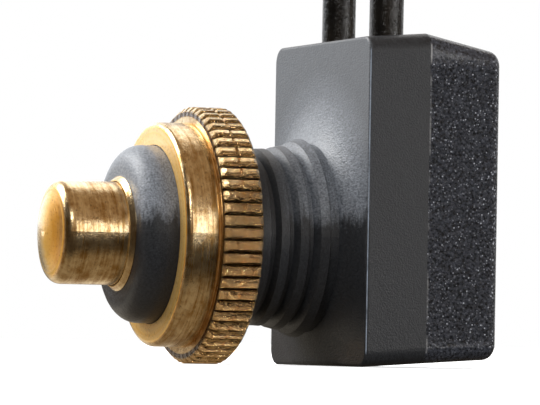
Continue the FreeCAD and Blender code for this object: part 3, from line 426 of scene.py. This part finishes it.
# Painted highlight: a pale, broken line along the cover's front arris at the seam
side_reach = add_node(tree, "ShaderNodeMath", {0: parts.outputs["X"]}, operation="ABSOLUTE")
near_side = add_node(tree, "ShaderNodeMapRange", {"Value": side_reach.outputs[0], "From Min": 8.95 * mm,
                                                  "From Max": 9.0 * mm})
near_seam = add_node(tree, "ShaderNodeMapRange", {"Value": parts.outputs["Y"], "From Min": 9.42 * mm,
                                                  "From Max": 9.46 * mm, "To Min": 1.0, "To Max": 0.0})
on_arris = add_node(tree, "ShaderNodeMath", {0: near_side.outputs[0], 1: near_seam.outputs[0]},
                    operation="MULTIPLY")
breaks = add_node(tree, "ShaderNodeTexNoise", {"Vector": place, "Scale": 1 / (1.6 * mm), "Detail": 5})
patchy = add_node(tree, "ShaderNodeMapRange", {"Value": breaks.outputs["Fac"], "From Min": 0.42,
                                             "From Max": 0.6})
arris_highlight = add_node(tree, "ShaderNodeMath", {0: on_arris.outputs[0], 1: patchy.outputs[0]}, operation="MULTIPLY")
arris_lit_tint = add_node(tree, "ShaderNodeMix", {"Factor": arris_highlight.outputs[0], 6: glinting.outputs[2],
                                             7: srgb("#8d8c8c")}, data_type="RGBA")
shader = add_node(tree, "ShaderNodeBsdfPrincipled", {"Base Color": arris_lit_tint.outputs[2], "Roughness": 0.27,
                                                     "Normal": bump.outputs[0]})
add_node(tree, "ShaderNodeOutputMaterial", {"Surface": shader.outputs[0]})
give_material(grained, "rear_cover")


# Push button, its bush and the ring nut: turned brass. The button and the collar keep the lathe's fine rings,
# and the knurl's notches are darkened by tarnish and by painted shade. Faces that look along the axis carry a
# painted orange reflection. The blade and the terminals inside are of the nut's brass.

notches = 62
brass = {}
for name, ring_size, sheen, knurled in (("turned_brass_button", 0.3, 0.17, False),
                                        ("turned_brass_nut", 0.22, 0.19, True)):
    brass[name], tree = new_material(name)
    place = add_node(tree, "ShaderNodeTexCoord").outputs["Object"]
    parts = add_node(tree, "ShaderNodeSeparateXYZ", {"Vector": place})
    height = add_node(tree, "ShaderNodeMath", {0: parts.outputs["Z"], 1: axis_height * mm},
                      operation="SUBTRACT")
    # The lathe's rings: a pattern that changes along the axis and hardly round it
    stretch = add_node(tree, "ShaderNodeVectorMath", {0: place, 1: (0.07, 1, 0.07)}, operation="MULTIPLY")
    rings = add_node(tree, "ShaderNodeTexNoise", {"Vector": stretch.outputs[0],
                                                  "Scale": 1 / (ring_size * mm), "Detail": 5,
                                                  "Roughness": 0.6})
    blotches = add_node(tree, "ShaderNodeTexNoise", {"Vector": place, "Scale": 1 / (0.7 * mm), "Detail": 6,
                                                     "Roughness": 0.65})
    nicks = add_node(tree, "ShaderNodeTexNoise", {"Vector": place, "Scale": 1 / (0.16 * mm), "Detail": 4,
                                                  "Roughness": 0.7})
    relief = add_node(tree, "ShaderNodeBump", {"Height": rings.outputs["Fac"], "Strength": 0.4,
                                               "Distance": 0.03 * mm})
    relief = add_node(tree, "ShaderNodeBump", {"Height": nicks.outputs["Fac"], "Normal": relief.outputs[0],
                                               "Strength": 0.35, "Distance": 0.035 * mm})
    patchy = add_node(tree, "ShaderNodeMath", {0: blotches.outputs["Fac"], 1: rings.outputs["Fac"]},
                    operation="ADD")
    patchy = add_node(tree, "ShaderNodeMath", {0: patchy.outputs[0], 1: 0.5}, operation="MULTIPLY")
    tint = add_node(tree, "ShaderNodeValToRGB", {"Fac": patchy.outputs[0]},
                    ((0.4, "#b28c54"), (0.58, "#efd9b0")))
    # Dark specks of tarnish
    stain = add_node(tree, "ShaderNodeMapRange", {"Value": nicks.outputs["Fac"], "From Min": 0.32,
                                                  "From Max": 0.42, "To Min": 0.75, "To Max": 0.0})
    # Painted reflection: faces that look along the axis are given an orange, lacquer-like colour with rings
    # about the axis
    shape = add_node(tree, "ShaderNodeNewGeometry")
    facing = add_node(tree, "ShaderNodeSeparateXYZ", {"Vector": shape.outputs["Normal"]})
    painted_reflection = add_node(tree, "ShaderNodeMapRange", {"Value": facing.outputs["Y"], "From Min": -0.84,
                                                 "From Max": -0.96, "To Min": 0.0, "To Max": 0.9})
    # The painted reflection fades where a face turns to the left, towards the pale far side
    left_fade = add_node(tree, "ShaderNodeMapRange", {"Value": facing.outputs["X"], "From Min": -0.24,
                                                 "From Max": 0.0, "To Min": 0.25, "To Max": 1.0})
    painted_reflection = add_node(tree, "ShaderNodeMath", {0: painted_reflection.outputs[0], 1: left_fade.outputs[0]}, operation="MULTIPLY")
    radius = add_node(tree, "ShaderNodeCombineXYZ", {"X": parts.outputs["X"], "Y": height.outputs[0]})
    radius = add_node(tree, "ShaderNodeVectorMath", {0: radius.outputs[0]}, operation="LENGTH")
    turning = add_node(tree, "ShaderNodeTexNoise", {"W": radius.outputs["Value"], "Scale": 1 / (0.3 * mm),
                                                    "Detail": 3}, noise_dimensions="1D")
    # Painted reflection and shade across the button's dome: pale on its left and brown on its right, by the
    # way each face turns
    reflection_tone = add_node(tree, "ShaderNodeMapRange", {"Value": facing.outputs["X"], "From Min": 0.45,
                                                  "From Max": -0.2, "To Min": 0.0, "To Max": 0.8})
    reflection_tone = add_node(tree, "ShaderNodeMath", {0: turning.outputs["Fac"], 1: 0.2, 2: reflection_tone.outputs[0]},
                     operation="MULTIPLY_ADD")
    reflected_tint = add_node(tree, "ShaderNodeValToRGB", {"Fac": reflection_tone.outputs[0]},
                       ((0.1, "#7a4812"), (0.35, "#e0992a"), (0.6, "#fbc052"), (0.86, "#ffefc4")))
    if knurled:
        # The knurled rim is left without the painted reflection
        off_rim = add_node(tree, "ShaderNodeMapRange", {"Value": radius.outputs["Value"],
                                                        "From Min": 7.45 * mm, "From Max": 7.6 * mm,
                                                        "To Min": 1.0, "To Max": 0.0})
        painted_reflection = add_node(tree, "ShaderNodeMath", {0: painted_reflection.outputs[0], 1: off_rim.outputs[0]},
                        operation="MULTIPLY")
    coloured = add_node(tree, "ShaderNodeMix", {"Factor": painted_reflection.outputs[0], 6: tint.outputs[0],
                                                7: reflected_tint.outputs[0]}, data_type="RGBA")
    metal = add_node(tree, "ShaderNodeMapRange", {"Value": painted_reflection.outputs[0], "To Min": 1.0, "To Max": 0.35})
    tarnish_and_shade = stain.outputs[0]
    if knurled:
        # The knurl's ridges are rounded and uneven, and the notches between them are darkened: tarnish, and
        # painted shade of the notches
        on_rim = add_node(tree, "ShaderNodeMapRange", {"Value": radius.outputs["Value"],
                                                       "From Min": 7.9 * mm, "From Max": 8.0 * mm})
        angle = add_node(tree, "ShaderNodeMath", {0: height.outputs[0], 1: parts.outputs["X"]},
                         operation="ARCTAN2")
        wobble = add_node(tree, "ShaderNodeTexNoise", {"Vector": place, "Scale": 1 / (0.9 * mm),
                                                       "Detail": 3})
        phase = add_node(tree, "ShaderNodeMath", {0: wobble.outputs["Fac"], 1: 2.4}, operation="MULTIPLY")
        phase = add_node(tree, "ShaderNodeMath", {0: angle.outputs[0], 1: notches, 2: phase.outputs[0]},
                         operation="MULTIPLY_ADD")
        ridges = add_node(tree, "ShaderNodeMath", {0: phase.outputs[0]}, operation="COSINE")
        crumpled = add_node(tree, "ShaderNodeVectorMath", {0: place, 1: (1, 0.5, 1)}, operation="MULTIPLY")
        crumpled = add_node(tree, "ShaderNodeTexNoise", {"Vector": crumpled.outputs[0],
                                                         "Scale": 1 / (0.26 * mm), "Detail": 4,
                                                         "Roughness": 0.6})
        uneven = add_node(tree, "ShaderNodeMath", {0: crumpled.outputs["Fac"], 1: 4.5, 2: ridges.outputs[0]},
                          operation="MULTIPLY_ADD")
        relief = add_node(tree, "ShaderNodeBump", {"Height": uneven.outputs[0],
                                                   "Strength": on_rim.outputs[0], "Distance": 0.14 * mm,
                                                   "Normal": relief.outputs[0]})
        notch_shade = add_node(tree, "ShaderNodeMapRange", {"Value": radius.outputs["Value"], "From Min": 8.2 * mm,
                                                     "From Max": 8.36 * mm, "To Min": 0.95, "To Max": 0.0})
        notch_shade = add_node(tree, "ShaderNodeMath", {0: notch_shade.outputs[0], 1: on_rim.outputs[0]},
                        operation="MULTIPLY")
        tarnish_and_shade = add_node(tree, "ShaderNodeMath", {0: stain.outputs[0], 1: notch_shade.outputs[0]},
                           operation="MAXIMUM").outputs[0]
        crest = add_node(tree, "ShaderNodeMath", {0: on_rim.outputs[0], 1: 0.55}, operation="MULTIPLY")
        coloured = add_node(tree, "ShaderNodeMix", {"Factor": crest.outputs[0], 6: coloured.outputs[2],
                                                    7: srgb("#ffda9c")}, data_type="RGBA")
    # Tarnish specks, and on the knurl the painted shade of its notches, darken the colour
    tarnished_and_shaded = add_node(tree, "ShaderNodeMix", {"Factor": tarnish_and_shade, 6: coloured.outputs[2],
                                               7: srgb("#38200c")}, data_type="RGBA")
    gloss = add_node(tree, "ShaderNodeMapRange", {"Value": rings.outputs["Fac"], "From Min": 0.3,
                                                  "From Max": 0.7, "To Min": sheen + 0.12, "To Max": sheen})
    if knurled:
        # The knurl's crests are burnished
        polish = add_node(tree, "ShaderNodeMapRange", {"Value": on_rim.outputs[0], "To Min": 1.0,
                                                       "To Max": 0.4})
        gloss = add_node(tree, "ShaderNodeMath", {0: gloss.outputs[0], 1: polish.outputs[0]},
                         operation="MULTIPLY")
    shader = add_node(tree, "ShaderNodeBsdfPrincipled", {"Base Color": tarnished_and_shaded.outputs[2],
                                                         "Metallic": metal.outputs[0],
                                                         "Roughness": gloss.outputs[0],
                                                         "Normal": relief.outputs[0]})
    add_node(tree, "ShaderNodeOutputMaterial", {"Surface": shader.outputs[0]})
give_material(brass["turned_brass_button"], "plunger", "plunger_bush")
give_material(brass["turned_brass_nut"], "ring_nut", "contact_bridge", "left_terminal", "right_terminal")


# Driver and ratchet rotor: white acetal mouldings with face teeth that turn the rotor a quarter at each push.
# The resin is slightly see-through and its skin shows faint flow marks.

acetal, tree = new_material("white_acetal")
place = add_node(tree, "ShaderNodeTexCoord").outputs["Object"]
flow = add_node(tree, "ShaderNodeTexNoise", {"Vector": place, "Scale": 1 / (1.8 * mm), "Detail": 4,
                                             "Distortion": 1.2})
tint = add_node(tree, "ShaderNodeValToRGB", {"Fac": flow.outputs["Fac"]},
                ((0.35, "#d3ccba"), (0.7, "#e2ddcf")))
bump = add_node(tree, "ShaderNodeBump", {"Height": flow.outputs["Fac"], "Strength": 0.2,
                                         "Distance": 0.05 * mm})
shader = add_node(tree, "ShaderNodeBsdfPrincipled", {
    "Base Color": tint.outputs[0], "Roughness": 0.38, "IOR": 1.48, "Subsurface Weight": 0.15,
    "Subsurface Scale": 0.4 * mm, "Normal": bump.outputs[0]})
add_node(tree, "ShaderNodeOutputMaterial", {"Surface": shader.outputs[0]})
give_material(acetal, "push_driver", "ratchet_rotor")


# Rotor pin, push-on clip and both springs: bright drawn steel, with the die's lines along the wire. The pin
# is pressed into the cover's boss and the clip holds the driver on the button's stem.

steel, tree = new_material("drawn_spring_steel")
place = add_node(tree, "ShaderNodeTexCoord").outputs["Object"]
lines = add_node(tree, "ShaderNodeTexNoise", {"Vector": place, "Scale": 1 / (0.12 * mm), "Detail": 4})
bump = add_node(tree, "ShaderNodeBump", {"Height": lines.outputs["Fac"], "Strength": 0.2,
                                         "Distance": 0.02 * mm})
gloss = add_node(tree, "ShaderNodeMapRange", {"Value": lines.outputs["Fac"], "From Min": 0.3,
                                              "From Max": 0.7, "To Min": 0.2, "To Max": 0.36})
shader = add_node(tree, "ShaderNodeBsdfPrincipled", {"Base Color": srgb("#a9abae"), "Metallic": 1.0,
                                                     "Roughness": gloss.outputs[0],
                                                     "Normal": bump.outputs[0]})
add_node(tree, "ShaderNodeOutputMaterial", {"Surface": shader.outputs[0]})
give_material(steel, "rotor_pin", "driver_clip", "rotor_spring")

# The button's spring: five working turns and a closed turn at each end, in 0.5 mm wire. It sits between the
# button's flange and the housing's web.
spring_start = -5.97
spring_tree, given, result = new_tree("compression_spring", "Length", "Coil Radius", "Wire", "Turns")
coil = add_node(spring_tree, "GeometryNodeCurveSpiral", {
    "Resolution": 32, "Rotations": given["Turns"], "Start Radius": given["Coil Radius"],
    "End Radius": given["Coil Radius"], "Height": given["Length"]})
along = add_node(spring_tree, "GeometryNodeSplineParameter")
first = add_node(spring_tree, "ShaderNodeMath", {0: 1.0, 1: given["Turns"]}, operation="DIVIDE")
last = add_node(spring_tree, "ShaderNodeMath", {0: 1.0, 1: first.outputs[0]}, operation="SUBTRACT")
open_length = add_node(spring_tree, "ShaderNodeMath", {0: given["Wire"], 1: -2.0, 2: given["Length"]},
                       operation="MULTIPLY_ADD")
foot = add_node(spring_tree, "ShaderNodeMapRange", {"Value": along.outputs["Factor"], "From Min": 0.0,
                                                    "From Max": first.outputs[0], "To Max": given["Wire"]})
middle = add_node(spring_tree, "ShaderNodeMapRange", {"Value": along.outputs["Factor"],
                                                      "From Min": first.outputs[0],
                                                      "From Max": last.outputs[0],
                                                      "To Max": open_length.outputs[0]})
top = add_node(spring_tree, "ShaderNodeMapRange", {"Value": along.outputs["Factor"],
                                                   "From Min": last.outputs[0], "From Max": 1.0,
                                                   "To Max": given["Wire"]})
climb = add_node(spring_tree, "ShaderNodeMath", {0: foot.outputs[0], 1: middle.outputs[0]}, operation="ADD")
climb = add_node(spring_tree, "ShaderNodeMath", {0: climb.outputs[0], 1: top.outputs[0]}, operation="ADD")
spot = add_node(spring_tree, "GeometryNodeInputPosition")
spot = add_node(spring_tree, "ShaderNodeSeparateXYZ", {"Vector": spot.outputs[0]})
lifted = add_node(spring_tree, "ShaderNodeCombineXYZ", {"X": spot.outputs["X"], "Y": spot.outputs["Y"],
                                                        "Z": climb.outputs[0]})
placed = add_node(spring_tree, "GeometryNodeSetPosition", {"Geometry": coil.outputs[0],
                                                           "Position": lifted.outputs[0]})
half_wire = add_node(spring_tree, "ShaderNodeMath", {0: given["Wire"], 1: 0.5}, operation="MULTIPLY")
section = add_node(spring_tree, "GeometryNodeCurvePrimitiveCircle", {"Resolution": 12,
                                                                    "Radius": half_wire.outputs[0]})
wire = add_node(spring_tree, "GeometryNodeCurveToMesh", {
    "Curve": placed.outputs[0], "Profile Curve": section.outputs[0], "Fill Caps": True})
real = add_node(spring_tree, "GeometryNodeRealizeInstances", {"Geometry": wire.outputs[0]})
painted = add_node(spring_tree, "GeometryNodeSetMaterial", {"Geometry": real.outputs[0], "Material": steel})
spring_tree.links.new(painted.outputs[0], result.inputs[0])
along_y = Matrix.Translation(Vector((0, spring_start, axis_height)) * mm) @ Matrix.Rotation(
    -math.pi / 2, 4, "X")
spring = grow("button_spring", spring_tree, steel,
              {"Length": 7.74 * mm, "Coil Radius": 2.8 * mm, "Wire": 0.5 * mm, "Turns": 7.0}, along_y)
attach(spring, "switch_body")
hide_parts("plunger_spring")
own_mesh(spring)


# Insulating washer behind the blade: vulcanised fibre, punched from sheet, which keeps the rotor's spring
# off the live brass. It is brick red and matt, with the sheet's fibres showing.

fibre, tree = new_material("vulcanised_fibre")
place = add_node(tree, "ShaderNodeTexCoord").outputs["Object"]
stretch = add_node(tree, "ShaderNodeVectorMath", {0: place, 1: (0.2, 1, 1)}, operation="MULTIPLY")
hairs = add_node(tree, "ShaderNodeTexNoise", {"Vector": stretch.outputs[0], "Scale": 1 / (0.2 * mm),
                                              "Detail": 5})
tint = add_node(tree, "ShaderNodeValToRGB", {"Fac": hairs.outputs["Fac"]},
                ((0.3, "#6b3328"), (0.7, "#8a4a3a")))
bump = add_node(tree, "ShaderNodeBump", {"Height": hairs.outputs["Fac"], "Strength": 0.4,
                                         "Distance": 0.03 * mm})
shader = add_node(tree, "ShaderNodeBsdfPrincipled", {"Base Color": tint.outputs[0], "Roughness": 0.72,
                                                     "Normal": bump.outputs[0]})
add_node(tree, "ShaderNodeOutputMaterial", {"Surface": shader.outputs[0]})
give_material(fibre, "bridge_washer")


# Contact buttons on the blade and on both terminals: silver, set in the brass. They are rolled smooth and a
# little dulled by use.

silver, tree = new_material("rolled_silver")
place = add_node(tree, "ShaderNodeTexCoord").outputs["Object"]
dulled = add_node(tree, "ShaderNodeTexNoise", {"Vector": place, "Scale": 1 / (0.3 * mm), "Detail": 4})
tint = add_node(tree, "ShaderNodeValToRGB", {"Fac": dulled.outputs["Fac"]},
                ((0.3, "#b3afa6"), (0.65, "#d9d7d2")))
gloss = add_node(tree, "ShaderNodeMapRange", {"Value": dulled.outputs["Fac"], "To Min": 0.4, "To Max": 0.18})
shader = add_node(tree, "ShaderNodeBsdfPrincipled", {"Base Color": tint.outputs[0], "Metallic": 1.0,
                                                     "Roughness": gloss.outputs[0]})
add_node(tree, "ShaderNodeOutputMaterial", {"Surface": shader.outputs[0]})
give_material(silver, "bridge_contacts", "left_contact", "right_contact")


# Floor and backdrop: a white sweep that keeps the object's soft shadow. The room in front of and beside it is
# dim and warm, so that the brass shows a bright far side, a brown near floor and the card beside the camera.

white, tree = new_material("white_sweep")
path = add_node(tree, "ShaderNodeLightPath")
place = add_node(tree, "ShaderNodeTexCoord").outputs["Object"]
# The camera sees paper that glows, and less so round the switch, where the shadow lies
far_off = add_node(tree, "ShaderNodeVectorMath", {0: place}, operation="LENGTH")
seen_glow = add_node(tree, "ShaderNodeMapRange", {"Value": far_off.outputs["Value"], "From Min": 60 * mm,
                                                  "From Max": 300 * mm, "To Min": 0.62, "To Max": 1.0})
paper = add_node(tree, "ShaderNodeBsdfDiffuse", {"Color": srgb("#f4f4f4")})
seen = add_node(tree, "ShaderNodeEmission", {"Strength": seen_glow.outputs[0]})
lit = add_node(tree, "ShaderNodeAddShader", {0: paper.outputs[0], 1: seen.outputs[0]})
dull = add_node(tree, "ShaderNodeBsdfDiffuse", {"Color": srgb("#72706f")})
# Glossy faces mirror a floor that is dark towards the camera, brown under the switch, pale close behind it
# and dim further off
away_from_camera = (-0.938, 0.345, 0)
depth = add_node(tree, "ShaderNodeVectorMath", {0: place, 1: away_from_camera}, operation="DOT_PRODUCT")
mirrored = add_node(tree, "ShaderNodeMapRange", {"Value": depth.outputs["Value"], "From Min": -30 * mm,
                                                 "From Max": 50 * mm})
mirrored = add_node(tree, "ShaderNodeValToRGB", {"Fac": mirrored.outputs[0]}, (
    (0.19, (0.05, 0.038, 0.026, 1)), (0.25, (0.26, 0.2, 0.13, 1)), (0.35, (0.3, 0.23, 0.15, 1)),
    (0.46, (1.0, 0.9, 0.74, 1)), (0.62, (0.5, 0.45, 0.38, 1)), (0.85, (0.12, 0.1, 0.08, 1))))
# The box front's foot mirrors the part of the floor beside it, which is darker
spot = add_node(tree, "ShaderNodeSeparateXYZ", {"Vector": place})
shaded = add_node(tree, "ShaderNodeMapRange", {"Value": spot.outputs["Y"], "From Min": -3 * mm,
                                               "From Max": 2 * mm, "To Min": 1.0, "To Max": 0.25})
mirror = add_node(tree, "ShaderNodeEmission", {"Color": mirrored.outputs[0], "Strength": shaded.outputs[0]})
hidden = add_node(tree, "ShaderNodeMixShader", {0: path.outputs["Is Glossy Ray"], 1: dull.outputs[0],
                                                2: mirror.outputs[0]})
whole = add_node(tree, "ShaderNodeMixShader", {0: path.outputs["Is Camera Ray"], 1: hidden.outputs[0],
                                               2: lit.outputs[0]})
add_node(tree, "ShaderNodeOutputMaterial", {"Surface": whole.outputs[0]})
floor_mesh = bpy.data.meshes.new("floor")
reach = 1.5
corners = [(-reach, -reach, 0), (reach, -reach, 0), (reach, reach, 0), (-reach, reach, 0)]
floor_mesh.from_pydata(corners, [], [(0, 1, 2, 3)])
floor_mesh.materials.append(white)
floor = bpy.data.objects.new("floor", floor_mesh)
bpy.context.scene.collection.objects.link(floor)

world = bpy.data.worlds.new("studio")
world.use_nodes = True
world.node_tree.nodes.clear()
tree = world.node_tree
path = add_node(tree, "ShaderNodeLightPath")
direction = add_node(tree, "ShaderNodeTexCoord").outputs["Generated"]
far_side, before_button = (-0.72, 0.69, 0), (0, -1, 0)
behind = add_node(tree, "ShaderNodeVectorMath", {0: direction, 1: far_side}, operation="DOT_PRODUCT")
ahead = add_node(tree, "ShaderNodeVectorMath", {0: direction, 1: before_button}, operation="DOT_PRODUCT")
# What metal mirrors: warm dusk, darkest straight ahead of the button, and the white backdrop on the far side
dusk = add_node(tree, "ShaderNodeMapRange", {"Value": ahead.outputs["Value"], "From Min": 0.3,
                                             "From Max": 0.8, "To Min": 1.0, "To Max": 0.12},
                interpolation_type="SMOOTHSTEP")
warm = add_node(tree, "ShaderNodeVectorMath", {0: (0.34, 0.235, 0.14), "Scale": dusk.outputs[0]},
                operation="SCALE")
white_side = add_node(tree, "ShaderNodeMapRange", {"Value": behind.outputs["Value"], "From Min": 0.6,
                                                   "From Max": 0.92}, interpolation_type="SMOOTHSTEP")
mirror_sky = add_node(tree, "ShaderNodeMix", {"Factor": white_side.outputs[0], 6: warm.outputs[0],
                                              7: (1, 1, 1, 1)}, data_type="RGBA")
mirror_room = add_node(tree, "ShaderNodeBackground", {"Color": mirror_sky.outputs[2]})
# What matt surfaces get: an even light, stronger from straight ahead of the button
even = add_node(tree, "ShaderNodeMapRange", {"Value": ahead.outputs["Value"], "From Min": 0.0,
                                             "From Max": 1.0, "To Min": 0.45, "To Max": 1.4})
soft_room = add_node(tree, "ShaderNodeBackground", {"Strength": even.outputs[0]})
room = add_node(tree, "ShaderNodeMixShader", {0: path.outputs["Is Glossy Ray"], 1: soft_room.outputs[0],
                                              2: mirror_room.outputs[0]})
bright = add_node(tree, "ShaderNodeBackground", {"Color": (1, 1, 1, 1), "Strength": 1.0})
seen = add_node(tree, "ShaderNodeMath", {0: path.outputs["Is Camera Ray"],
                                         1: path.outputs["Is Transmission Ray"]}, operation="MAXIMUM")
sky = add_node(tree, "ShaderNodeMixShader", {0: seen.outputs[0], 1: room.outputs[0], 2: bright.outputs[0]})
add_node(tree, "ShaderNodeOutputWorld", {"Surface": sky.outputs[0]})
bpy.context.scene.world = world


# Lights: a soft key above and before the button, a small card close on the far side, two cards to the right
# of the camera for the brass and for the box's side, a strip that glints on the leads, and two weak ones from
# above.

for name, spot, aim, wide, high, watts, colour in (
    ("key_light", (-170, -170, 190), (0, 0, 12), 170, 170, 0.9, (1, 1, 1)),
    ("left_card", (-51.6, -14, 40), (0, 5, 40), 50, 58, 0.012, (0.84, 0.92, 1)),
    ("near_card", (330, 122, 72), (0, 0, 9), 130, 120, 0.13, (1, 1, 1)),
    ("rim_card", (206, 283, 62), (0, 0, 30), 90, 120, 0.13, (1, 1, 1)),
    ("top_light", (-190, 120, 270), (0, 0, 10), 180, 180, 0.16, (1, 1, 1)),
    ("glint_light", (225, -135, 160), (0, 0, 10), 50, 50, 0.14, (1, 1, 1)),
    ("strip_light", (268, 225, 30), (0, 8, 23), 12, 60, 0.15, (1, 1, 1)),
):
    lamp = bpy.data.lights.new(name, "AREA")
    lamp.shape = "RECTANGLE"
    lamp.size, lamp.size_y = wide * mm, high * mm
    lamp.energy = watts
    lamp.color = colour
    source = bpy.data.objects.new(name, lamp)
    bpy.context.scene.collection.objects.link(source)
    source.visible_camera = False
    spot, aim = Vector(spot) * mm, Vector(aim) * mm
    turn = (spot - aim).to_track_quat("Z", "Y")
    source.matrix_world = Matrix.Translation(spot) @ turn.to_matrix().to_4x4()

bpy.context.scene.view_settings.view_transform = "Standard"
